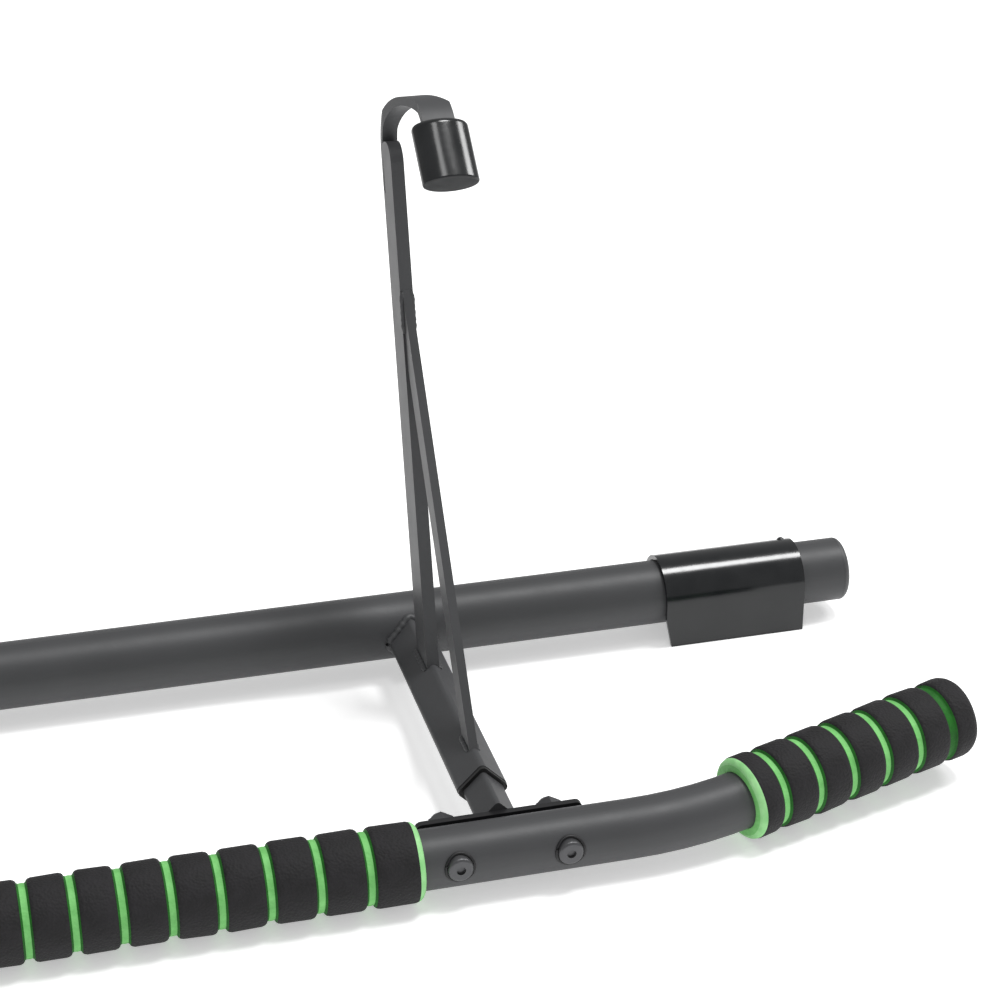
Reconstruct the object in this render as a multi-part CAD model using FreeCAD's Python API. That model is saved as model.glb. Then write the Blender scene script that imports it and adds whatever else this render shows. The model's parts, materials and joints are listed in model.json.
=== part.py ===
"""Doorway pull-up bar, standing on a floor, in millimetres.

+X runs along the long bar, +Y towards the long bar from the grip bar, +Z up.
The origin is at the floor, in the middle of the object's box.
"""
import FreeCAD, Part
import math
import os

V = FreeCAD.Vector
X_AXIS = V(1, 0, 0)
Y_AXIS = V(0, 1, 0)
Z_AXIS = V(0, 0, 1)
SIDES = (("left", -1), ("right", 1))

# gaps and tolerances
NEAR = 0.01
TOUCH = 0.05
SLIDE_FIT = 0.08
PAD_FIT = 0.30

# long bar
LONG_R = 16.0
LONG_WALL = 1.5
LONG_HALF = 476.0
LONG_Z = 22.5
PLUG_DOME = 3.0
PLUG_LAND = 0.2
PLUG_SPIGOT = 22.0
PLUG_BORE_R = 10.0

# sliding door pads
PAD_WALL = 2.2
PAD_OUT_R = LONG_R + PAD_FIT + PAD_WALL
PAD_INNER_X = 380.0
PAD_OUTER_X = 453.0
PAD_CUT_X = 3.0
PAD_CUT_Z = 15.0
PAD_NUB_R = 2.2
PAD_NUB_X = 448.5
PAD_NUB_BACK = math.radians(22.0)

# socket arms: square tubes standing on one corner
ARM_X = 250.0
ARM_Z = 21.5
ARM_SIDE = 17.5
ARM_CORNER = 2.6
ARM_WALL = 1.0
ARM_MOUTH_Y = -151.0
BUSH_WALL = 0.70
BUSH_LENGTH = 30.0
BUSH_LIP = 2.0
BUSH_LIP_STEP = 0.5

# front grip bar
GRIP_Y = -194.2
GRIP_Z = 18.5
GRIP_R = 13.0
GRIP_WALL = 1.5
BEND_X = 332.0
BEND_R = 196.0
SWEEP_BACK = math.radians(15.8)
SWEEP_UP = math.radians(3.0)
GRIP_END_X = 468.5
GRIP_RIM = 1.5
GRIP_SPIGOT = 15.0
GRIP_SPIGOT_BORE_R = 8.0

# foam grips
FOAM_FIT = 0.1
CENTRE_FOAM_R = 17.5
END_FOAM_R = 19.0
CENTRE_FOAM_HALF = 211.0
END_FOAM = 122.0
END_FOAM_CAP = 3.0
END_FOAM_ROOM = 2.0
FOAM_ROUND = 5.0

# saddle plates, stubs and bolts
PLATE_LENGTH = 74.0
PLATE_HEIGHT = 17.0
PLATE_THICK = 3.0
PLATE_ROUND = 3.0
STUB_SIDE = ARM_SIDE - 2 * (ARM_WALL + BUSH_WALL + TOUCH + SLIDE_FIT)
STUB_CORNER = 1.9
STUB_WALL = 1.5
STUB_END = 2.0
STUB_INNER_CORNER = 0.6
STUB_IN = 75.0
BOLT_SPACING = 48.0
BOLT_RISE = 2.0
BOLT_R = 3.0
BOLT_HOLE_R = 3.3
HEAD_R = 5.6
HEAD_H = 1.9
HEAD_RIM = 0.4
HEAD_SKIRT = 2.0
RECESS_R = 2.0
RECESS_DEPTH = 1.3
RECESS_FLOOR = 0.4
NUT_FLATS = 11.0
NUT_H = 5.5
NUT_DOME = 4.2
NUT_DOME_STEP = 0.4
NUT_DOME_FLAT = 0.3
NUT_DOME_SEAT = 0.1
THREAD_SPARE = 0.2

# uprights, braces and hooks
UPRIGHT_THICK = 6.0
UPRIGHT_WIDE = 20.0
UPRIGHT_FOOT = V(0, -54.0, 16.0)
UPRIGHT_LEAN = math.radians(13.9)
UPRIGHT_TOP_Z = 267.0
UPRIGHT_TOP_ROUND = 9.0
BRACE_THICK = 4.0
BRACE_WIDE = 12.0
BRACE_FOOT = V(0, -138.0, 20.0)
BRACE_TOP_Z = 212.0
TRIM_REACH = 40.0
STRAP_THICK = 4.0
STRAP_BACK = UPRIGHT_WIDE / 2 - STRAP_THICK / 2
STRAP_START_Z = 244.0
STRAP_ARC_Z = 261.4
STRAP_ARC_R = 24.2
STRAP_TURN = math.radians(145.9)
STRAP_LEG = 27.5
STRAP_IN_X = 257.0
STRAP_OUT_X = 271.5
STRAP_REAR_X = 254.0
STRAP_TAPER_Y = (12.4, -15.0)
COVER_WIDE = 25.6
COVER_THICK = 14.0
COVER_LENGTH = 30.5
COVER_END = 2.0
COVER_DOME = 3.0
COVER_RIM = 1.0

# the box's middle goes to the origin
BOX_SHIFT = V(0, (CENTRE_FOAM_R - GRIP_Y - PAD_OUT_R) / 2, 0)


def tube(r_out, r_in, start, length, axis):
    outer = Part.makeCylinder(r_out, length, start, axis)
    bore = Part.makeCylinder(r_in, length, start, axis)
    return outer.cut(bore)


def rounded_rectangle(width, height, corner):
    """Closed wire in the XZ plane, centred on the origin."""
    a = width / 2
    b = height / 2
    k = corner * (1 - math.sqrt(0.5))
    corners = []
    for sx, sz in ((1, 1), (-1, 1), (-1, -1), (1, -1)):
        near = V(sx * a, 0, sz * (b - corner))
        mid = V(sx * (a - k), 0, sz * (b - k))
        far = V(sx * (a - corner), 0, sz * b)
        order = (near, mid, far) if sx * sz > 0 else (far, mid, near)
        corners.append(order)
    edges = []
    for i, (first, mid, last) in enumerate(corners):
        edges.append(Part.Arc(first, mid, last).toShape())
        following = corners[(i + 1) % len(corners)][0]
        edges.append(Part.LineSegment(last, following).toShape())
    return Part.Wire(edges)


def square_bar(side, corner, y_start, y_end):
    """Rounded square bar along Y at the arm's axis, standing on one corner."""
    wire = rounded_rectangle(side, side, corner)
    wire.rotate(V(0, 0, 0), Y_AXIS, 45)
    wire.translate(V(ARM_X, y_start, ARM_Z))
    return Part.Face(wire).extrude(V(0, y_end - y_start, 0))


def put(shape, side):
    """Place a right-hand shape on its own side of the object."""
    placed = shape.copy()
    if side < 0:
        placed = placed.mirror(V(0, 0, 0), X_AXIS)
    placed.translate(BOX_SHIFT)
    return placed


def save(name, shape):
    shape.exportStep("parts/" + name + ".step")


def save_pair(name, shape):
    for word, side in SIDES:
        save(name + "_" + word, put(shape, side))


def long_bar():
    start = V(-LONG_HALF, 0, LONG_Z)
    return tube(LONG_R, LONG_R - LONG_WALL, start, 2 * LONG_HALF, X_AXIS)


def long_bar_plug():
    """Domed cap with a hollow spigot inside the tube."""
    cap = Part.makeCylinder(LONG_R, PLUG_DOME, V(LONG_HALF + TOUCH, 0, LONG_Z), X_AXIS)
    far = LONG_HALF + TOUCH + PLUG_DOME
    rim = [e for e in cap.Edges if abs(e.BoundBox.XMin - far) < NEAR and e.BoundBox.XLength < NEAR]
    cap = cap.makeFillet(PLUG_DOME - PLUG_LAND, rim)
    spigot_r = LONG_R - LONG_WALL - TOUCH
    start = V(LONG_HALF - PLUG_SPIGOT, 0, LONG_Z)
    spigot = tube(spigot_r, PLUG_BORE_R, start, PLUG_SPIGOT + TOUCH, X_AXIS)
    return cap.fuse(spigot).removeSplitter()


def door_pad():
    """Inverted U over the long bar, with both legs down to the floor."""
    length = PAD_OUTER_X - PAD_INNER_X
    start = V(PAD_INNER_X, 0, LONG_Z)
    crown = Part.makeCylinder(PAD_OUT_R, length, start, X_AXIS)
    corner = V(PAD_INNER_X, -PAD_OUT_R, 0)
    skirt = Part.makeBox(length, 2 * PAD_OUT_R, LONG_Z, corner)
    body = crown.fuse(skirt).removeSplitter()
    inner_r = LONG_R + PAD_FIT
    bore = Part.makeCylinder(inner_r, length, start, X_AXIS)
    slot = Part.makeBox(length, 2 * inner_r, LONG_Z, V(PAD_INNER_X, -inner_r, 0))
    body = body.cut(bore.fuse(slot))
    body = body.common(Part.makeBox(length, 4 * PAD_OUT_R, 4 * PAD_OUT_R,
                                    V(PAD_INNER_X, -2 * PAD_OUT_R, 0)))
    wedge_points = [V(PAD_INNER_X, 0, 0), V(PAD_INNER_X + PAD_CUT_X, 0, 0),
                    V(PAD_INNER_X, 0, PAD_CUT_Z), V(PAD_INNER_X, 0, 0)]
    wedge = Part.Face(Part.makePolygon(wedge_points)).extrude(V(0, 4 * PAD_OUT_R, 0))
    wedge.translate(V(0, -2 * PAD_OUT_R, 0))
    nub_reach = PAD_OUT_R - PAD_NUB_R / 2
    nub_y = nub_reach * math.sin(PAD_NUB_BACK)
    nub_z = LONG_Z + nub_reach * math.cos(PAD_NUB_BACK)
    nub = Part.makeSphere(PAD_NUB_R, V(PAD_NUB_X, nub_y, nub_z))
    nub = nub.cut(bore)
    return body.cut(wedge).fuse(nub).removeSplitter()


def long_bar_clearance():
    start = V(0, 0, LONG_Z)
    return Part.makeCylinder(LONG_R + TOUCH, LONG_HALF, start, X_AXIS)


def arm():
    outer = square_bar(ARM_SIDE, ARM_CORNER, ARM_MOUTH_Y, 0)
    inner = square_bar(ARM_SIDE - 2 * ARM_WALL, ARM_CORNER - ARM_WALL, ARM_MOUTH_Y, 0)
    return largest(outer.cut(inner).cut(long_bar_clearance()))


def largest(shape):
    """The biggest solid of a cut shape."""
    return sorted(shape.Solids, key=lambda s: s.Volume)[-1]


def arm_bush():
    """Plastic liner in the arm's mouth, with a thin lip in front of it."""
    side = ARM_SIDE - 2 * (ARM_WALL + TOUCH)
    corner = ARM_CORNER - ARM_WALL
    liner = square_bar(side, corner, ARM_MOUTH_Y - TOUCH, ARM_MOUTH_Y + BUSH_LENGTH)
    lip_side = ARM_SIDE - BUSH_LIP_STEP
    lip_corner = ARM_CORNER - BUSH_LIP_STEP / 2
    lip = square_bar(lip_side, lip_corner, ARM_MOUTH_Y - BUSH_LIP, ARM_MOUTH_Y - TOUCH)
    hole_side = STUB_SIDE + 2 * SLIDE_FIT
    hole = square_bar(hole_side, STUB_CORNER, ARM_MOUTH_Y - BUSH_LIP, ARM_MOUTH_Y + BUSH_LENGTH)
    return liner.fuse(lip).removeSplitter().cut(hole)


def plate_back_y():
    return GRIP_Y + GRIP_R + TOUCH + PLATE_THICK


def stub():
    """Square tube with a closed front end on the saddle plate."""
    start = plate_back_y() + TOUCH
    end = ARM_MOUTH_Y + STUB_IN
    outer = square_bar(STUB_SIDE, STUB_CORNER, start, end)
    inner_side = STUB_SIDE - 2 * STUB_WALL
    inner = square_bar(inner_side, STUB_INNER_CORNER, start + STUB_END, end)
    return outer.cut(inner)


def bolt_places():
    half = BOLT_SPACING / 2
    return (ARM_X - half, ARM_X + half)


def bolt_holes():
    holes = []
    for x in bolt_places():
        start = V(x, GRIP_Y - 2 * GRIP_R, GRIP_Z + BOLT_RISE)
        holes.append(Part.makeCylinder(BOLT_HOLE_R, 4 * GRIP_R, start, Y_AXIS))
    return holes[0].fuse(holes[1])


def saddle_plate():
    wire = rounded_rectangle(PLATE_LENGTH, PLATE_HEIGHT, PLATE_ROUND)
    wire.translate(V(ARM_X, GRIP_Y + GRIP_R + TOUCH, GRIP_Z))
    plate = Part.Face(wire).extrude(V(0, PLATE_THICK, 0))
    return plate.cut(bolt_holes())


def grip_direction():
    flat = math.cos(SWEEP_UP)
    return V(math.cos(SWEEP_BACK) * flat, math.sin(SWEEP_BACK) * flat, math.sin(SWEEP_UP))


def grip_end():
    direction = grip_direction()
    corner = V(BEND_X, GRIP_Y, GRIP_Z)
    return corner + direction * ((GRIP_END_X - BEND_X) / direction.x)


def grip_path(side):
    """Bend and swept-back end of one half of the grip bar's centreline."""
    direction = grip_direction()
    turn = math.acos(direction.x)
    tangent = BEND_R * math.tan(turn / 2)
    corner = V(BEND_X, GRIP_Y, GRIP_Z)
    first = corner - X_AXIS * tangent
    last = corner + direction * tangent
    bisector = (direction - X_AXIS)
    bisector.normalize()
    centre = corner + bisector * (BEND_R / math.cos(turn / 2))
    middle = centre - bisector * BEND_R
    points = [V(side * p.x, p.y, p.z) for p in (first, middle, last, grip_end())]
    arc = Part.Arc(points[0], points[1], points[2]).toShape()
    run = Part.LineSegment(points[2], points[3]).toShape()
    return first.x, Part.Wire([arc, run])


def swept_round(radius):
    """Round bar along the whole grip centreline."""
    pieces = []
    for word, side in SIDES:
        half, path = grip_path(side)
        ring = Part.Wire(Part.Circle(V(side * half, GRIP_Y, GRIP_Z), V(side, 0, 0), radius).toShape())
        pieces.append(path.makePipeShell([ring], True, False))
    straight = Part.makeCylinder(radius, 2 * half, V(-half, GRIP_Y, GRIP_Z), X_AXIS)
    return straight.fuse(pieces).removeSplitter()


def grip_bar():
    tube_solid = swept_round(GRIP_R).cut(swept_round(GRIP_R - GRIP_WALL))
    holes = bolt_holes()
    return tube_solid.cut(holes).cut(holes.mirror(V(0, 0, 0), X_AXIS))


def grip_plug():
    """Cap that closes the grip bar's open end under the foam."""
    direction = grip_direction()
    cap = Part.makeCylinder(GRIP_R - TOUCH, GRIP_RIM, grip_end() + direction * TOUCH, direction)
    inside = grip_end() - direction * GRIP_SPIGOT
    spigot_r = GRIP_R - GRIP_WALL - TOUCH
    spigot = tube(spigot_r, GRIP_SPIGOT_BORE_R, inside, GRIP_SPIGOT + TOUCH, direction)
    return cap.fuse(spigot).removeSplitter()


def centre_grip():
    start = V(-CENTRE_FOAM_HALF, GRIP_Y, GRIP_Z)
    return tube(CENTRE_FOAM_R, GRIP_R + FOAM_FIT, start, 2 * CENTRE_FOAM_HALF, X_AXIS)


def end_grip():
    """Closed foam sleeve over the grip bar's end."""
    direction = grip_direction()
    start = grip_end() - direction * (END_FOAM - END_FOAM_CAP - END_FOAM_ROOM)
    outer = Part.makeCylinder(END_FOAM_R, END_FOAM, start, direction)
    far = start + direction * END_FOAM
    rim = [e for e in outer.Edges if e.Closed and e.CenterOfMass.distanceToPoint(far) < NEAR]
    outer = outer.makeFillet(FOAM_ROUND, rim)
    bore = Part.makeCylinder(GRIP_R + FOAM_FIT, END_FOAM - END_FOAM_CAP, start, direction)
    return outer.cut(bore)


def saddle_bolt(x):
    """Round-headed bolt whose head fits the curve of the grip bar."""
    front = V(x, GRIP_Y - GRIP_R - HEAD_H, GRIP_Z + BOLT_RISE)
    head = Part.makeCylinder(HEAD_R, HEAD_H + HEAD_SKIRT, front, Y_AXIS)
    rim = [e for e in head.Edges if e.Closed and abs(e.CenterOfMass.y - front.y) < NEAR]
    head = head.makeFillet(HEAD_H - HEAD_RIM, rim)
    start = V(-2 * ARM_X, GRIP_Y, GRIP_Z)
    head = head.cut(Part.makeCylinder(GRIP_R + TOUCH, 4 * ARM_X, start, X_AXIS))
    recess = Part.makeCylinder(RECESS_R, RECESS_DEPTH, front, Y_AXIS)
    shank_start = front + Y_AXIS * (RECESS_DEPTH + RECESS_FLOOR)
    shank_length = plate_back_y() + NUT_H - shank_start.y
    shank = Part.makeCylinder(BOLT_R, shank_length, shank_start, Y_AXIS)
    return largest(head.cut(recess).fuse(shank).removeSplitter())


def saddle_nut(x):
    """Domed hexagon nut behind the saddle plate."""
    base_y = plate_back_y() + TOUCH
    base_z = GRIP_Z + BOLT_RISE
    corner_r = NUT_FLATS / math.sqrt(3)
    points = []
    for i in range(7):
        angle = math.radians(60 * i + 30)
        points.append(V(x + corner_r * math.cos(angle), base_y, base_z + corner_r * math.sin(angle)))
    hexagon = Part.Face(Part.makePolygon(points)).extrude(V(0, NUT_H, 0))
    dome_start = V(x, base_y + NUT_H - NUT_DOME_SEAT, base_z)
    dome_r = NUT_FLATS / 2 - NUT_DOME_STEP
    dome = Part.makeCylinder(dome_r, NUT_DOME + NUT_DOME_SEAT, dome_start, Y_AXIS)
    far = base_y + NUT_H + NUT_DOME
    rim = [e for e in dome.Edges if e.Closed and abs(e.CenterOfMass.y - far) < NEAR]
    dome = dome.makeFillet(NUT_DOME - NUT_DOME_FLAT, rim)
    thread = Part.makeCylinder(BOLT_R + TOUCH, NUT_H + THREAD_SPARE, V(x, base_y, base_z), Y_AXIS)
    return hexagon.fuse(dome).removeSplitter().cut(thread)


def upright_direction():
    return V(0, math.sin(UPRIGHT_LEAN), math.cos(UPRIGHT_LEAN))


def upright_point(z):
    direction = upright_direction()
    return UPRIGHT_FOOT + direction * ((z - UPRIGHT_FOOT.z) / direction.z)


def flat_bar(start, end, thick, wide, round_top):
    """Flat bar in a YZ plane at the arm's X, from start to end."""
    direction = end - start
    length = direction.Length
    blank = Part.makeBox(thick, wide, length, V(-thick / 2, -wide / 2, 0))
    if round_top > 0:
        rim = [e for e in blank.Edges if e.BoundBox.ZMin > length - NEAR and e.BoundBox.YLength < NEAR]
        blank = blank.makeFillet(round_top, rim)
    angle = math.degrees(math.atan2(-direction.y, direction.z))
    blank.rotate(V(0, 0, 0), X_AXIS, angle)
    blank.translate(start + X_AXIS * ARM_X)
    return blank


def arm_clearance():
    return square_bar(ARM_SIDE + 2 * TOUCH, ARM_CORNER, ARM_MOUTH_Y - TRIM_REACH, TRIM_REACH)


def upright():
    bar = flat_bar(UPRIGHT_FOOT, upright_point(UPRIGHT_TOP_Z), UPRIGHT_THICK, UPRIGHT_WIDE,
                   UPRIGHT_TOP_ROUND)
    hook = extrude_band(STRAP_THICK / 2 + TOUCH, ARM_X - UPRIGHT_THICK, 2 * UPRIGHT_THICK)
    bar = bar.cut(arm_clearance()).cut(long_bar_clearance())
    return largest(bar.cut(hook))


def brace():
    bar = flat_bar(BRACE_FOOT, upright_point(BRACE_TOP_Z), BRACE_THICK, BRACE_WIDE, 0)
    wide = UPRIGHT_WIDE + 2 * TOUCH
    post = flat_bar(UPRIGHT_FOOT, upright_point(UPRIGHT_TOP_Z), TRIM_REACH, wide, 0)
    trimmed = bar.cut(arm_clearance()).cut(post)
    return largest(trimmed)


def strap_points():
    """Centreline of the hook in the YZ plane: run, arc, flared leg."""
    direction = upright_direction()
    inward = V(0, -direction.z, direction.y)
    start = upright_point(STRAP_START_Z) - inward * STRAP_BACK
    arc_start = upright_point(STRAP_ARC_Z) - inward * STRAP_BACK
    centre = arc_start + inward * STRAP_ARC_R
    turned = []
    for share in (0.5, 1.0):
        angle = STRAP_TURN * share
        offset = inward * -math.cos(angle) + direction * math.sin(angle)
        turned.append(centre + offset * STRAP_ARC_R)
    leg = direction * math.cos(STRAP_TURN) + inward * math.sin(STRAP_TURN)
    end = turned[1] + leg * STRAP_LEG
    return start, arc_start, turned[0], turned[1], end, leg


def strap_middle_x():
    return (STRAP_IN_X + STRAP_OUT_X) / 2


def band(offset_a, offset_b):
    """Face in the YZ plane between two offsets of the hook's centreline."""
    direction = upright_direction()
    inward = V(0, -direction.z, direction.y)
    start, arc_start, middle, arc_end, end, leg = strap_points()
    normals = [inward * -1, inward * -1, None, None, None]
    centre = arc_start + inward * STRAP_ARC_R
    for i, point in ((2, middle), (3, arc_end)):
        normal = point - centre
        normal.normalize()
        normals[i] = normal
    normals[4] = normals[3]
    base = [start, arc_start, middle, arc_end, end]
    outer = [p + n * offset_a for p, n in zip(base, normals)]
    inner = [p + n * offset_b for p, n in zip(base, normals)]
    edges = [
        Part.LineSegment(outer[0], outer[1]).toShape(),
        Part.Arc(outer[1], outer[2], outer[3]).toShape(),
        Part.LineSegment(outer[3], outer[4]).toShape(),
        Part.LineSegment(outer[4], inner[4]).toShape(),
        Part.LineSegment(inner[4], inner[3]).toShape(),
        Part.Arc(inner[3], inner[2], inner[1]).toShape(),
        Part.LineSegment(inner[1], inner[0]).toShape(),
        Part.LineSegment(inner[0], outer[0]).toShape(),
    ]
    return Part.Face(Part.Wire(edges))


def extrude_band(half, start_x, length):
    solid = band(half, -half).extrude(V(length, 0, 0))
    solid.translate(V(start_x, 0, 0))
    return solid


def strap_solid(grow):
    """Strap as narrow as the upright behind, widening over the arch, grown all round."""
    inner = ARM_X - UPRIGHT_THICK / 2 - grow
    outer = STRAP_OUT_X + grow
    solid = extrude_band(STRAP_THICK / 2 + grow, inner, outer - inner)
    rear, front = STRAP_TAPER_Y
    rear_x = STRAP_REAR_X + grow
    front_x = STRAP_IN_X - grow
    far = 3 * STRAP_ARC_R
    outline = [V(inner, far, 0), V(rear_x, far, 0), V(rear_x, rear, 0),
               V(outer, front, 0), V(outer, -far, 0), V(front_x, -far, 0),
               V(front_x, front, 0), V(inner, rear, 0), V(inner, far, 0)]
    plan = Part.Face(Part.makePolygon(outline)).extrude(V(0, 0, 2 * ARM_X))
    beside_run = Part.makeBox(STRAP_OUT_X, far, strap_points()[1].z, V(rear_x, 0, 0))
    return largest(solid.common(plan).cut(beside_run))


def hook_strap():
    return strap_solid(0)


def cover_block():
    """Oval block along the hook's flared leg with rounded ends."""
    start, arc_start, middle, arc_end, end, leg = strap_points()
    outline = Part.Ellipse(V(0, 0, 0), COVER_WIDE / 2, COVER_THICK / 2).toShape()
    outline.rotate(V(0, 0, 0), X_AXIS, -90)
    block = Part.Face(Part.Wire(outline)).extrude(V(0, COVER_LENGTH, 0))
    upper = [e for e in block.Edges if e.BoundBox.YMax < NEAR]
    block = block.makeFillet(COVER_DOME, upper)
    lower = [e for e in block.Edges if e.BoundBox.YMin > COVER_LENGTH - NEAR]
    block = block.makeFillet(COVER_RIM, lower)
    angle = math.degrees(math.atan2(leg.z, leg.y))
    block.rotate(V(0, 0, 0), X_AXIS, angle)
    origin = end + leg * (COVER_END + TOUCH - COVER_LENGTH)
    block.translate(origin + X_AXIS * strap_middle_x())
    return block


def hook_cover():
    """Glossy oval sleeve pushed over the hook's front leg."""
    return largest(cover_block().cut(strap_solid(TOUCH)))


def bolt_group(maker):
    solids = []
    for x in bolt_places():
        for word, side in SIDES:
            solids.append(put(maker(x), side))
    return Part.makeCompound(solids)


def main():
    os.makedirs("parts", exist_ok=True)
    save("long_bar", put(long_bar(), 1))
    save_pair("long_bar_end_plug", long_bar_plug())
    save_pair("door_pad", door_pad())
    save_pair("arm_socket_tube", arm())
    save_pair("arm_bush", arm_bush())
    save_pair("upright", upright())
    save_pair("brace", brace())
    save_pair("hook_strap", hook_strap())
    save_pair("hook_cover", hook_cover())
    save("grip_bar", put(grip_bar(), 1))
    save_pair("grip_bar_end_plug", grip_plug())
    save_pair("saddle_plate", saddle_plate())
    save_pair("saddle_stub", stub())
    save("saddle_bolts", bolt_group(saddle_bolt))
    save("saddle_nuts", bolt_group(saddle_nut))
    save("centre_foam_grip", put(centre_grip(), 1))
    save_pair("end_foam_grip", end_grip())


main()
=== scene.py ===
import json
import math
import random

import bmesh
import bpy
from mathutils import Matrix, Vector


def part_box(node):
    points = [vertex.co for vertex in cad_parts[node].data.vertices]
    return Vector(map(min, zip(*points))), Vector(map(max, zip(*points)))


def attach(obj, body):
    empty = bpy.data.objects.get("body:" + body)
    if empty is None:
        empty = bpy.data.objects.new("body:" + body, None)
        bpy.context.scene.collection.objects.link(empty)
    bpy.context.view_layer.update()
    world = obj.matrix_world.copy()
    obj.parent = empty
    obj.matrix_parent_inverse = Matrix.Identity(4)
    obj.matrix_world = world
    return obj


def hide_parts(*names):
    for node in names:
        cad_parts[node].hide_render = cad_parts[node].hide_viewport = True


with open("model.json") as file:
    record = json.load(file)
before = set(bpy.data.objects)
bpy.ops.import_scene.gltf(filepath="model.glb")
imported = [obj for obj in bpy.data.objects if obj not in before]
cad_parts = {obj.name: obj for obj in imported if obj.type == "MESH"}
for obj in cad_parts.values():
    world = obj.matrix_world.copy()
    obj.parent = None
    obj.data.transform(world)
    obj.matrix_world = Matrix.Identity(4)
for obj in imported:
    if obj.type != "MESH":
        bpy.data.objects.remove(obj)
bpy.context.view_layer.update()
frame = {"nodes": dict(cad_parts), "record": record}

# Lengths are in metres, and angles in degrees until math.radians turns them.
SIDES = (("left", -1), ("right", 1))


# ---------------------------------------------------------------- materials
def new_material(name):
    mat = bpy.data.materials.new(name)
    mat.use_nodes = True
    tree = mat.node_tree
    shader = tree.nodes["Principled BSDF"]
    return mat, tree, shader


def add(tree, kind, **values):
    """New node; each value goes to the input of that name, or else to the node's own setting."""
    made = tree.nodes.new(kind)
    for key, value in values.items():
        if key in made.inputs:
            made.inputs[key].default_value = value
        else:
            setattr(made, key, value)
    return made


def noise(tree, scale, detail=4.0, rough=0.55):
    coords = add(tree, "ShaderNodeTexCoord")
    made = add(tree, "ShaderNodeTexNoise", Scale=scale, Detail=detail, Roughness=rough)
    tree.links.new(coords.outputs["Object"], made.inputs["Vector"])
    return made


def ramp(tree, source, stops):
    made = add(tree, "ShaderNodeValToRGB")
    bar = made.color_ramp
    while len(bar.elements) < len(stops):
        bar.elements.new(0.5)
    for element, (place, colour) in zip(bar.elements, stops):
        element.position = place
        element.color = (*colour, 1.0)
    tree.links.new(source, made.inputs["Fac"])
    return made


def mottled_colour(tree, shader, mottle, stops):
    """Base colour that runs between two tones along a noise."""
    colour = ramp(tree, mottle.outputs["Fac"], stops)
    tree.links.new(colour.outputs["Color"], shader.inputs["Base Color"])


def rough_range(tree, shader, source, low, high):
    made = add(tree, "ShaderNodeMapRange")
    made.inputs["To Min"].default_value = low
    made.inputs["To Max"].default_value = high
    tree.links.new(source, made.inputs["Value"])
    tree.links.new(made.outputs["Result"], shader.inputs["Roughness"])


def bump(tree, shader, layers):
    """Chain of bumps: (height socket, strength, distance)."""
    last = None
    for height, strength, distance in layers:
        made = add(tree, "ShaderNodeBump", Strength=strength, Distance=distance)
        tree.links.new(height, made.inputs["Height"])
        if last is not None:
            tree.links.new(last.outputs["Normal"], made.inputs["Normal"])
        last = made
    tree.links.new(last.outputs["Normal"], shader.inputs["Normal"])


def powder_coat(name, dark, light, metallic=0.1, rough=(0.42, 0.54)):
    """Satin coat: fine orange peel and faint mottling."""
    mat, tree, shader = new_material(name)
    mottle = noise(tree, 14.0, 6.0, 0.6)
    mottled_colour(tree, shader, mottle, ((0.25, dark), (0.78, light)))
    shader.inputs["Metallic"].default_value = metallic
    patches = noise(tree, 90.0, 6.0)
    rough_range(tree, shader, patches.outputs["Fac"], *rough)
    peel = noise(tree, 1900.0, 2.0)
    grain = noise(tree, 700.0, 3.0)
    bump(tree, shader, ((grain.outputs["Fac"], 0.10, 0.0004), (peel.outputs["Fac"], 0.08, 0.0002)))
    shader.inputs["Specular IOR Level"].default_value = 0.36
    return mat


def gloss_plastic(name, dark, light, rough=(0.13, 0.22)):
    """Glossy moulded vinyl: smooth ripples and a few fine scuffs."""
    mat, tree, shader = new_material(name)
    mottle = noise(tree, 60.0, 3.0)
    mottled_colour(tree, shader, mottle, ((0.35, dark), (0.70, light)))
    scuff = noise(tree, 240.0, 6.0, 0.7)
    rough_range(tree, shader, scuff.outputs["Fac"], *rough)
    ripple = noise(tree, 55.0, 2.0)
    fine = noise(tree, 900.0, 2.0)
    bump(tree, shader, ((ripple.outputs["Fac"], 0.10, 0.0010), (fine.outputs["Fac"], 0.03, 0.0002)))
    shader.inputs["Specular IOR Level"].default_value = 0.45
    return mat


def matte_plastic(name, dark, light, rough=(0.38, 0.58)):
    """Moulded plastic with a fine spark-eroded grain."""
    mat, tree, shader = new_material(name)
    mottle = noise(tree, 120.0, 4.0)
    mottled_colour(tree, shader, mottle, ((0.35, dark), (0.70, light)))
    rough_range(tree, shader, mottle.outputs["Fac"], *rough)
    spark = noise(tree, 1300.0, 2.0)
    bump(tree, shader, ((spark.outputs["Fac"], 0.16, 0.0003),))
    return mat


def foam_material(name, dark, light, rough=(0.62, 0.86), skin=0.35):
    """Closed-cell foam: fine cells, soft dimples and uneven skin."""
    mat, tree, shader = new_material(name)
    coords = add(tree, "ShaderNodeTexCoord")
    cells = add(tree, "ShaderNodeTexVoronoi", Scale=850.0)
    tree.links.new(coords.outputs["Object"], cells.inputs["Vector"])
    mottle = noise(tree, 130.0, 5.0)
    mottled_colour(tree, shader, mottle, ((0.32, dark), (0.70, light)))
    rough_range(tree, shader, mottle.outputs["Fac"], *rough)
    dimples = noise(tree, 260.0, 3.0)
    bump(tree, shader, (
        (dimples.outputs["Fac"], 0.42, 0.0008),
        (cells.outputs["Distance"], skin, 0.0003),
    ))
    shader.inputs["Specular IOR Level"].default_value = 0.32
    return mat


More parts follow.
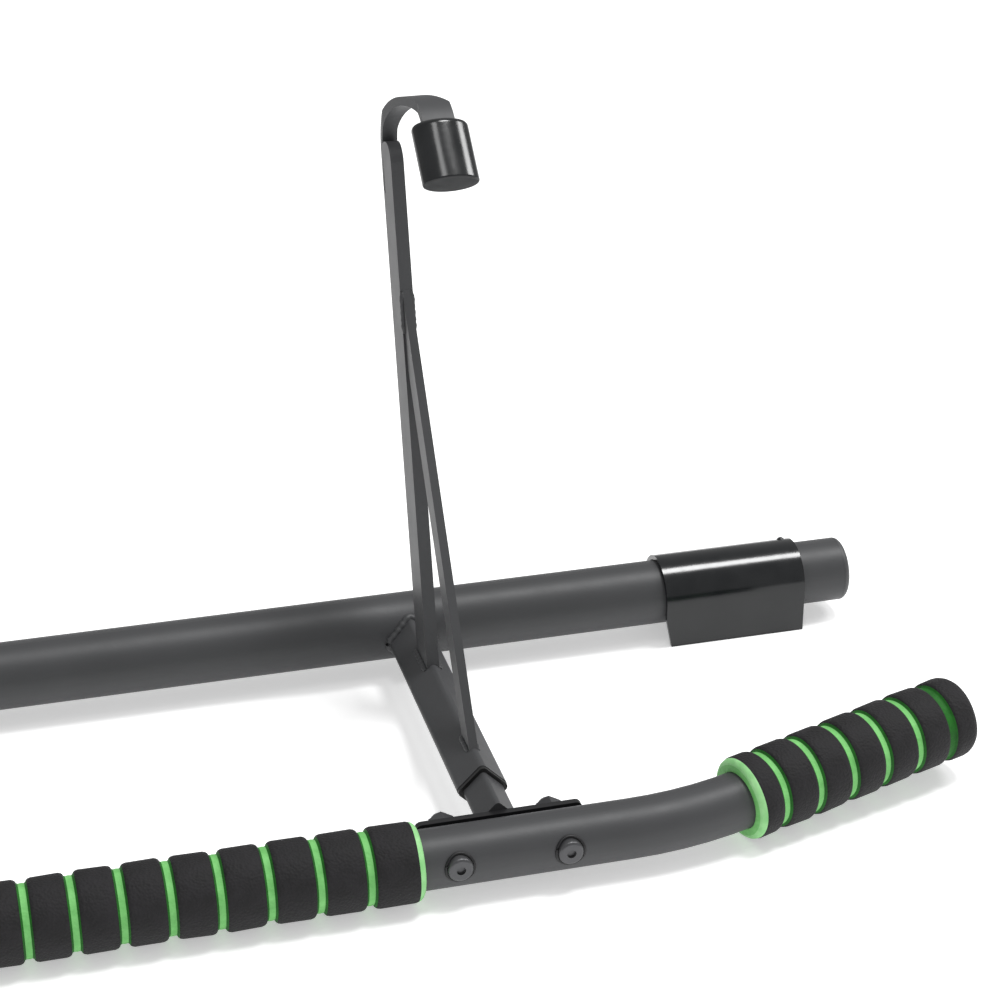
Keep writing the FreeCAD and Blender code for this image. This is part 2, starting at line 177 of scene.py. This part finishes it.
GRAPHITE = powder_coat("graphite_powder_coat", (0.050, 0.051, 0.053), (0.060, 0.061, 0.064))
WELD = powder_coat(
    "weld_bead_coat", (0.048, 0.049, 0.051), (0.064, 0.065, 0.068), rough=(0.40, 0.56))
BOLT = powder_coat(
    "bolt_coat", (0.060, 0.061, 0.064), (0.10, 0.10, 0.105), metallic=0.55, rough=(0.26, 0.40))
PLATE = powder_coat(
    "plate_coat", (0.008, 0.008, 0.009), (0.013, 0.013, 0.014), metallic=0.0, rough=(0.35, 0.5))
GLOSS = gloss_plastic("gloss_black_vinyl", (0.006, 0.007, 0.008), (0.012, 0.013, 0.014))
CAP = matte_plastic("end_cap_plastic", (0.040, 0.041, 0.043), (0.062, 0.063, 0.066))
BUSH = matte_plastic("bush_plastic", (0.006, 0.006, 0.006), (0.012, 0.012, 0.012))
FOAM = foam_material(
    "black_foam_skin", (0.0075, 0.0072, 0.0078), (0.0165, 0.0155, 0.0175), skin=0.9)
GREEN = foam_material(
    "green_foam_core", (0.13, 0.44, 0.11), (0.22, 0.60, 0.19), (0.5, 0.75), 0.45)
# Dark green on the grooves' sides and on the outermost end groove's bed: painted shade, not a
# colour of the foam.
SHADE_GREEN = foam_material(
    "painted_shade_green_foam", (0.006, 0.085, 0.006), (0.012, 0.15, 0.010), (0.6, 0.8), 0.45)
# Pale green on the bevel of each open end: a painted highlight, not a colour of the foam.
HIGHLIGHT_GREEN = foam_material(
    "painted_highlight_green_foam", (0.22, 0.56, 0.20), (0.36, 0.70, 0.32), (0.5, 0.7), 0.45)

BY_SLOT = {
    "powder_coat": GRAPHITE,
    "gloss_sleeve": GLOSS,
    "cap_plastic": CAP,
    "bush_plastic": BUSH,
    "plate_black": PLATE,
    "bolt_steel": BOLT,
    "foam": FOAM,
}


def dress_cad():
    for part in frame["record"]["subparts"]:
        obj = frame["nodes"][part["node"]]
        obj.data.materials.clear()
        obj.data.materials.append(BY_SLOT[part["material_slot"]])


# ---------------------------------------------------------------- meshes
def join_rings(bm, first, second, slot=0):
    """Smooth faces between two rings with the same number of points."""
    count = len(first)
    for k in range(count):
        n = (k + 1) % count
        face = bm.faces.new((first[k], first[n], second[n], second[k]))
        face.material_index = slot
        face.smooth = True


def make_object(bm, name, materials):
    bmesh.ops.recalc_face_normals(bm, faces=bm.faces)
    mesh = bpy.data.meshes.new(name)
    bm.to_mesh(mesh)
    bm.free()
    for mat in materials:
        mesh.materials.append(mat)
    obj = bpy.data.objects.new(name, mesh)
    bpy.context.scene.collection.objects.link(obj)
    return obj


# ---------------------------------------------------------------- foam grips
SLEEVE_MATERIALS = (FOAM, GREEN, SHADE_GREEN, HIGHLIGHT_GREEN)
SKIN, CORE, SHADE, HIGHLIGHT_EDGE = range(4)  # places in SLEEVE_MATERIALS: skin, green core, painted shade, painted highlight
BED = -1                            # a groove's bed: CORE, or painted shade (SHADE) in a shaded groove
SLEEVE_POINTS = 96                  # points round a sleeve
SLEEVE_BORE = 0.0131

GROOVE_WIDTH = 0.0044
GROOVE_DEPTH = 0.0019
GROOVE_CROWN = 0.92 * GROOVE_DEPTH  # the bed is slightly higher along its middle
RIB_SOFT = 0.0015                   # length over which a rib's shoulder rounds off
MOUTH = 0.0026                      # length of the bevel at an open end
CLOSED_ROUND = 0.0055               # radius of the rounding at a closed end
CLOSED_FLAT = 0.0005                # straight run left before that rounding
CLOSED_RING = 0.45                  # share of the radius at which the end's flat face has a ring
CLOSED_HOLE = 0.0004                # radius left open in the middle of that face

# From the groove's edge towards its middle: (along, drop below the sleeve's radius, material); the
# sides' dark green is painted shade.
GROOVE_SIDE = (
    (-1.2 * RIB_SOFT, 0.0, SKIN),
    (-0.4 * RIB_SOFT, 0.00035, SKIN),
    (0.0, 0.45 * GROOVE_DEPTH, SKIN),
    (0.0004, 0.85 * GROOVE_DEPTH, SHADE),
    (0.2 * GROOVE_WIDTH, GROOVE_DEPTH, BED),
)

# From an open end inwards, in the same order; the bevel's pale green is a painted highlight.
OPEN_END = (
    (0.0, 0.0026, CORE),
    (0.0006, 0.0014, HIGHLIGHT_EDGE),
    (0.6 * MOUTH, 0.0006, HIGHLIGHT_EDGE),
    (MOUTH, 0.0003, SKIN),
    (MOUTH + 0.001, 0.0, SKIN),
)

# Unevenness of the skin: (height, lobes round the sleeve, radians per metre along it).
SKIN_WAVES = ((0.00010, 3, 90), (0.00008, 5, -160), (0.00008, 0, 210))
SKIN_SINK = 0.00025     # keeps the waves inside the CAD radius
SKIN_FROM = 0.015       # rows with a smaller radius stay true

# The centre grip's grooves, from one end to the middle: a curve fitted to the photo.
CENTRE_FIRST = 0.0230
CENTRE_STEP = 0.0213
CENTRE_CLOSING = 0.00017
CENTRE_HALF_COUNT = 10
CENTRE_SEED = 11

END_SWEEP = 15.8
END_RISE = 3.0
END_RADIUS = 0.019
END_LENGTH = 0.122
END_FIRST = 0.0144
END_STEP = 0.01845
END_COUNT = 6
END_DARK = (END_COUNT - 1,)     # the outermost groove's bed is painted shade
END_SEED = 23


def grip_profile(length, grooves, radius, closed, dark=()):
    """Rows (along, radius, material) of a ribbed sleeve; dark lists the grooves whose bed gets
    painted shade.
    """
    rows = [(0.0, SLEEVE_BORE, CORE)]

    def put(along, drop, slot):
        rows.append((along, radius - drop, slot))

    for along, drop, slot in OPEN_END:
        put(along, drop, slot)
    for i, centre in enumerate(grooves):
        near = centre - GROOVE_WIDTH / 2
        far = centre + GROOVE_WIDTH / 2
        bed = SHADE if i in dark else CORE
        for along, drop, slot in GROOVE_SIDE:
            put(near + along, drop, bed if slot == BED else slot)
        put(centre, GROOVE_CROWN, bed)
        for along, drop, slot in reversed(GROOVE_SIDE):
            put(far - along, drop, bed if slot == BED else slot)
    if closed:
        put(length - CLOSED_ROUND - CLOSED_FLAT, 0.0, SKIN)
        for degrees in range(0, 91, 15):
            a = math.radians(degrees)
            along = length - CLOSED_ROUND + CLOSED_ROUND * math.sin(a)
            put(along, CLOSED_ROUND * (1 - math.cos(a)), SKIN)
        rows.append((length, radius * CLOSED_RING, SKIN))
        rows.append((length, CLOSED_HOLE, SKIN))
    else:
        for along, drop, slot in reversed(OPEN_END):
            put(length - along, drop, slot)
        rows.append((length, SLEEVE_BORE, CORE))
    return rows


def foam_grip(name, start, direction, rows, seed):
    """Lathed sleeve along a straight axis, with slight unevenness."""
    dice = random.Random(seed)
    along_axis = direction.normalized()
    across = Vector((0, 0, 1)).cross(along_axis).normalized()
    up = along_axis.cross(across)
    phases = [dice.uniform(0, math.tau) for _ in SKIN_WAVES]
    bm = bmesh.new()
    rings = []
    for along, r, _ in rows:
        ring = []
        for k in range(SLEEVE_POINTS):
            a = math.tau * k / SLEEVE_POINTS
            wobble = sum(height * math.sin(lobes * a + phase + along * rate)
                         for (height, lobes, rate), phase in zip(SKIN_WAVES, phases))
            uneven_r = r + (wobble - SKIN_SINK if r > SKIN_FROM else 0.0)
            spoke = across * math.cos(a) + up * math.sin(a)
            ring.append(bm.verts.new(start + along_axis * along + spoke * uneven_r))
        rings.append(ring)
    for i in range(len(rings) - 1):
        join_rings(bm, rings[i], rings[i + 1], max(rows[i][2], rows[i + 1][2]))
    bm.normal_update()
    obj = make_object(bm, name, SLEEVE_MATERIALS)
    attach(obj, "front_bar")
    return obj


def centre_grip():
    """Sleeve on the straight middle of the grip bar, open at both ends."""
    lo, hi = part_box("centre_foam_grip")
    mid = (lo + hi) / 2
    start = Vector((lo.x, mid.y, mid.z))
    length = hi.x - lo.x
    half = [CENTRE_FIRST + CENTRE_STEP * k - CENTRE_CLOSING * k * k
            for k in range(CENTRE_HALF_COUNT)]
    grooves = half + [length - place for place in reversed(half)]
    rows = grip_profile(length, grooves, (hi.z - lo.z) / 2, closed=False)
    obj = foam_grip("centre_foam_sleeve", start, Vector((1, 0, 0)), rows, CENTRE_SEED)
    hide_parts("centre_foam_grip")


def end_grip(word, side):
    """Sleeve on the grip bar's swept-back end. Its open rim touches the low sides of the box."""
    name = "end_foam_grip_" + word
    lo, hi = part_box(name)
    sweep = math.radians(END_SWEEP)
    rise = math.radians(END_RISE)
    direction = Vector((
        side * math.cos(sweep) * math.cos(rise),
        math.sin(sweep) * math.cos(rise),
        math.sin(rise),
    ))
    reach = [END_RADIUS * math.sqrt(1 - c * c) for c in direction]
    near_x = lo.x + reach[0] if side > 0 else hi.x - reach[0]
    start = Vector((near_x, lo.y + reach[1], lo.z + reach[2]))
    grooves = [END_FIRST + END_STEP * i for i in range(END_COUNT)]
    rows = grip_profile(END_LENGTH, grooves, END_RADIUS, closed=True, dark=END_DARK)
    obj = foam_grip("end_foam_sleeve_" + word, start, direction, rows, END_SEED + side)
    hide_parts(name)


# ---------------------------------------------------------------- beads
BEAD_SIDES = 10
BEAD_STEP = 0.0009      # spacing of the rings along a bead
BEAD_WAVE = 0.10        # height of a weld's ripple, as a share of its radius
BEAD_WAVE_STEP = 1.9    # radians of that ripple from ring to ring
BEAD_JITTER = 0.06      # random share of the radius on top of it
BEAD_TAPER = 0.6        # share of the radius left at the two rings of an open end


def bead(name, points, body, radius, seed, closed=False,
         ripple=1.0, mat=WELD):
    """A bead along a list of points; ripple 1 is a weld, 0 is smooth."""
    dice = random.Random(seed)
    fine = []
    count = len(points)
    for i in range(count if closed else count - 1):
        a = points[i]
        b = points[(i + 1) % count]
        n = max(2, int((b - a).length / BEAD_STEP))
        for k in range(n):
            fine.append(a.lerp(b, k / n))
    if not closed:
        fine.append(points[-1])
    bm = bmesh.new()
    rings = []
    total = len(fine)
    for i, p in enumerate(fine):
        before = fine[(i - 1) % total] if closed or i > 0 else fine[i]
        after = fine[(i + 1) % total] if closed or i < total - 1 else fine[i]
        forward = (after - before).normalized()
        helper = Vector((0, 0, 1)) if abs(forward.z) < 0.9 else Vector((1, 0, 0))
        side = forward.cross(helper).normalized()
        up = side.cross(forward)
        jitter = dice.uniform(-BEAD_JITTER, BEAD_JITTER)
        r = radius * (1.0 + ripple * (BEAD_WAVE * math.sin(i * BEAD_WAVE_STEP) + jitter))
        if not closed and (i < 2 or i > total - 3):
            r *= BEAD_TAPER
        angles = [math.tau * k / BEAD_SIDES for k in range(BEAD_SIDES)]
        rings.append([bm.verts.new(p + (side * math.cos(t) + up * math.sin(t)) * r)
                      for t in angles])
    for i in range(total if closed else total - 1):
        join_rings(bm, rings[i], rings[(i + 1) % total])
    if not closed:
        bm.faces.new(rings[0])
        bm.faces.new(list(reversed(rings[-1])))
    obj = make_object(bm, name, (mat,))
    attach(obj, body)


# ---------------------------------------------------------------- welds and bolt-head rings
LEAN = math.radians(13.9)                           # of the uprights, backwards
UP = Vector((0, math.sin(LEAN), math.cos(LEAN)))    # along an upright
UPRIGHT_HALF = 0.0100       # half of an upright's width, square to its length
UPRIGHT_PLACE = 0.097       # from the arm's front to the upright's centreline...
UPRIGHT_PLACE_Z = 0.016     # ...at this height

DIAMOND_POINTS = 32
DIAMOND_CORNER = 0.925      # the arm's corners are rounded to this share of their reach
ARM_FACE = 1.04             # beads on the arm slope down from this share of its reach...
ARM_RIDGE = 0.985           # ...and are cut off at this one over its rounded ridge

ARM_WELD_REACH = 1.12       # the weld runs just outside the arm's section
ARM_WELD_LIFT = 0.0003      # off the long bar's surface
ARM_WELD_RADIUS = 0.0019
ARM_WELD_SEED = 41

FOOT_WELD_GAP = 0.0004      # off the upright's side faces
FOOT_WELD_RADIUS = 0.0016
FOOT_WELD_SEED = 61
FRONT_WELD_GAP = 0.0003     # off the upright's front edge
FRONT_WELD_RADIUS = 0.0015
FRONT_WELD_SEED = 63

BRACE_WELD_GAP = 0.0003     # off the brace's side faces, and in from its rear edge
BRACE_WELD_RADIUS = 0.0013
BRACE_FOOT_RUN = (0.001, 0.0145)    # from the brace's front, along the arm
BRACE_FOOT_SEED = 71
BRACE_TOP_DROP = 0.001
BRACE_TOP_RUN = 0.019
BRACE_TOP_SEED = 73

BOLT_SPACING = 0.048
HEAD_RING_POINTS = 40
HEAD_RING_SEAT = 0.0132        # just outside the grip bar's radius
HEAD_RING_MARGIN = 0.0005      # beyond the bolt head
HEAD_RING_RADIUS = 0.0007
HEAD_RING_SEED = 91


def diamond_points(centre, reach):
    """Outline, in the XZ plane, of a square on its corner with rounded corners."""
    points = []
    for k in range(DIAMOND_POINTS):
        a = math.tau * k / DIAMOND_POINTS
        c, s = math.cos(a), math.sin(a)
        r = min(reach / (abs(c) + abs(s)), reach * DIAMOND_CORNER)
        points.append(centre + Vector((c * r, 0, s * r)))
    return points


def upright_centre(arm_lo, x, z):
    """Point on the upright's centreline at height z."""
    y = arm_lo.y + UPRIGHT_PLACE + (z - UPRIGHT_PLACE_Z) * math.tan(LEAN)
    return Vector((x, y, z))


def on_arm(y, dx, arm_mid, reach):
    """Point on the arm's upper faces at dx from its ridge."""
    height = min(reach * ARM_FACE - abs(dx), reach * ARM_RIDGE)
    return Vector((arm_mid.x + dx, y, arm_mid.z + height))


def arm_weld(word, side, arm_mid, reach):
    """Saddle-shaped weld where the arm meets the long bar."""
    bar_lo, bar_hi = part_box("long_bar")
    bar_mid = (bar_lo + bar_hi) / 2
    bar_r = (bar_hi.z - bar_lo.z) / 2 + ARM_WELD_LIFT
    saddle = []
    for p in diamond_points(Vector((arm_mid.x, 0, arm_mid.z)), reach * ARM_WELD_REACH):
        dz = p.z - bar_mid.z
        saddle.append(Vector((p.x, bar_mid.y - math.sqrt(bar_r ** 2 - dz * dz), p.z)))
    bead("arm_weld_" + word, saddle, "rear_frame", ARM_WELD_RADIUS, ARM_WELD_SEED + side, True)


def foot_welds(word, arm_lo, arm_mid, reach):
    """Welds on both sides and the front of the upright's foot."""
    lo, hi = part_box("upright_" + word)
    thick = (hi.x - lo.x) / 2
    centre = upright_centre(arm_lo, arm_mid.x, arm_mid.z + reach)
    half = UPRIGHT_HALF / math.cos(LEAN)
    for tag, dx in (("inner", -thick - FOOT_WELD_GAP), ("outer", thick + FOOT_WELD_GAP)):
        ends = [on_arm(y, dx, arm_mid, reach) for y in (centre.y - half, centre.y + half)]
        bead("upright_weld_%s_%s" % (tag, word), ends, "rear_frame",
             FOOT_WELD_RADIUS, FOOT_WELD_SEED)
    front_y = centre.y - half - FRONT_WELD_GAP
    front = [on_arm(front_y, dx, arm_mid, reach) for dx in (-thick, thick)]
    bead("upright_weld_front_" + word, front, "rear_frame", FRONT_WELD_RADIUS, FRONT_WELD_SEED)


def brace_welds(word, arm_mid, reach):
    """Welds on both sides of the brace, at its foot and where it meets the upright."""
    lo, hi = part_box("brace_" + word)
    thick = (hi.x - lo.x) / 2
    for tag, dx in (("inner", -thick - BRACE_WELD_GAP), ("outer", thick + BRACE_WELD_GAP)):
        ends = [on_arm(lo.y + run, dx, arm_mid, reach) for run in BRACE_FOOT_RUN]
        bead("brace_foot_weld_%s_%s" % (tag, word), ends, "rear_frame",
             BRACE_WELD_RADIUS, BRACE_FOOT_SEED)
        top = Vector((arm_mid.x + dx, hi.y - BRACE_WELD_GAP, hi.z - BRACE_TOP_DROP))
        bead("brace_top_weld_%s_%s" % (tag, word), [top, top - UP * BRACE_TOP_RUN],
             "rear_frame", BRACE_WELD_RADIUS, BRACE_TOP_SEED)


def bolt_head_rings(word, side):
    """Thin black rings that hug the tube round the bolt heads."""
    lo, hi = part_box("saddle_bolts")
    grip_lo, grip_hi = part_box("centre_foam_grip")
    axis = (grip_lo + grip_hi) / 2
    head_r = (hi.z - lo.z) / 2
    reach = head_r + HEAD_RING_MARGIN
    bolt_z = (lo.z + hi.z) / 2
    outer_x = hi.x - head_r
    for tag, x in (("outer", outer_x), ("inner", outer_x - BOLT_SPACING)):
        # A thin black ring drawn on the tube's surface round each bolt head.
        ring = []
        for k in range(HEAD_RING_POINTS):
            a = math.tau * k / HEAD_RING_POINTS
            z = bolt_z + reach * math.sin(a)
            y = axis.y - math.sqrt(HEAD_RING_SEAT ** 2 - (z - axis.z) ** 2)
            ring.append(Vector((side * (x + reach * math.cos(a)), y, z)))
        bead("bolt_head_ring_%s_%s" % (tag, word), ring, "front_bar", HEAD_RING_RADIUS, HEAD_RING_SEED,
             closed=True, ripple=0.0, mat=PLATE)


def welds_and_head_rings():
    for word, side in SIDES:
        arm_lo, arm_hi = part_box("arm_socket_tube_" + word)
        arm_mid = (arm_lo + arm_hi) / 2
        reach = (arm_hi.x - arm_lo.x) / 2
        arm_weld(word, side, arm_mid, reach)
        foot_welds(word, arm_lo, arm_mid, reach)
        brace_welds(word, arm_mid, reach)
        bolt_head_rings(word, side)


# ---------------------------------------------------------------- stage
FLOOR_SIZE = 30.0
FLOOR_TONES = ((0.3, (0.90, 0.90, 0.90)), (0.7, (0.93, 0.93, 0.93)))
FLOOR_GLOW = 0.42       # lifts the shadows to the photo's pale grey

WORLD_STRENGTH = 0.47
SUN_ENERGY = 1.7
SUN_ANGLE = 16          # width of the sun, in degrees, for soft shadows
SUN_TILT = 16           # degrees from straight overhead, towards +X
SOFTBOX_TARGET = (0.26, 0.02, 0.25)
SOFTBOX_HEIGHT = 0.5
SOFTBOXES = (           # name, place, width, watts
    ("right_softbox", (1.46, 0.15, 1.15), 0.30, 7.0),
    ("front_softbox", (0.12, -0.36, 1.75), 0.22, 2.6),
)

# The camera was fitted to the outlines in the photo.
CAMERA_PLACE = (0.02100, -0.93956, 0.61229)
CAMERA_PITCH = 63.79
CAMERA_YAW = -15.0
CAMERA_LENS = 88.62
CAMERA_SENSOR = 36.0
CAMERA_NEAR = 0.05


def floor():
    bpy.ops.mesh.primitive_plane_add(size=FLOOR_SIZE, location=(0, 0, 0))
    obj = bpy.context.object
    obj.name = "floor"
    mat, tree, shader = new_material("pale_floor")
    grain = noise(tree, 6.0, 3.0)
    mottled_colour(tree, shader, grain, FLOOR_TONES)
    shader.inputs["Roughness"].default_value = 0.8
    shader.inputs["Specular IOR Level"].default_value = 0.1
    shader.inputs["Emission Color"].default_value = (1.0, 1.0, 1.0, 1.0)
    shader.inputs["Emission Strength"].default_value = FLOOR_GLOW
    obj.data.materials.append(mat)


def softbox(name, place, width, power):
    data = bpy.data.lights.new(name, "AREA")
    data.energy = power
    data.shape = "RECTANGLE"
    data.size = width
    data.size_y = SOFTBOX_HEIGHT
    obj = bpy.data.objects.new(name, data)
    obj.location = place
    obj.rotation_mode = "QUATERNION"
    aim = Vector(SOFTBOX_TARGET) - Vector(place)
    obj.rotation_quaternion = aim.to_track_quat("-Z", "Y")
    bpy.context.scene.collection.objects.link(obj)


def lights():
    world = bpy.data.worlds.new("studio")
    world.use_nodes = True
    background = world.node_tree.nodes["Background"]
    background.inputs["Color"].default_value = (1, 1, 1, 1)
    background.inputs["Strength"].default_value = WORLD_STRENGTH
    bpy.context.scene.world = world
    sun = bpy.data.lights.new("overhead", "SUN")
    sun.energy = SUN_ENERGY
    sun.angle = math.radians(SUN_ANGLE)
    obj = bpy.data.objects.new("overhead", sun)
    obj.rotation_euler = (0, math.radians(SUN_TILT), 0)
    bpy.context.scene.collection.objects.link(obj)
    for box in SOFTBOXES:
        softbox(*box)


def camera():
    data = bpy.data.cameras.new("camera")
    data.sensor_width = CAMERA_SENSOR
    data.lens = CAMERA_LENS
    data.clip_start = CAMERA_NEAR
    obj = bpy.data.objects.new("camera", data)
    obj.location = CAMERA_PLACE
    obj.rotation_euler = (math.radians(CAMERA_PITCH), 0.0, math.radians(CAMERA_YAW))
    bpy.context.scene.collection.objects.link(obj)
    bpy.context.scene.camera = obj


camera()
dress_cad()
centre_grip()
for word, side in SIDES:
    end_grip(word, side)
welds_and_head_rings()
floor()
lights()
bpy.context.scene.view_settings.view_transform = "Standard"
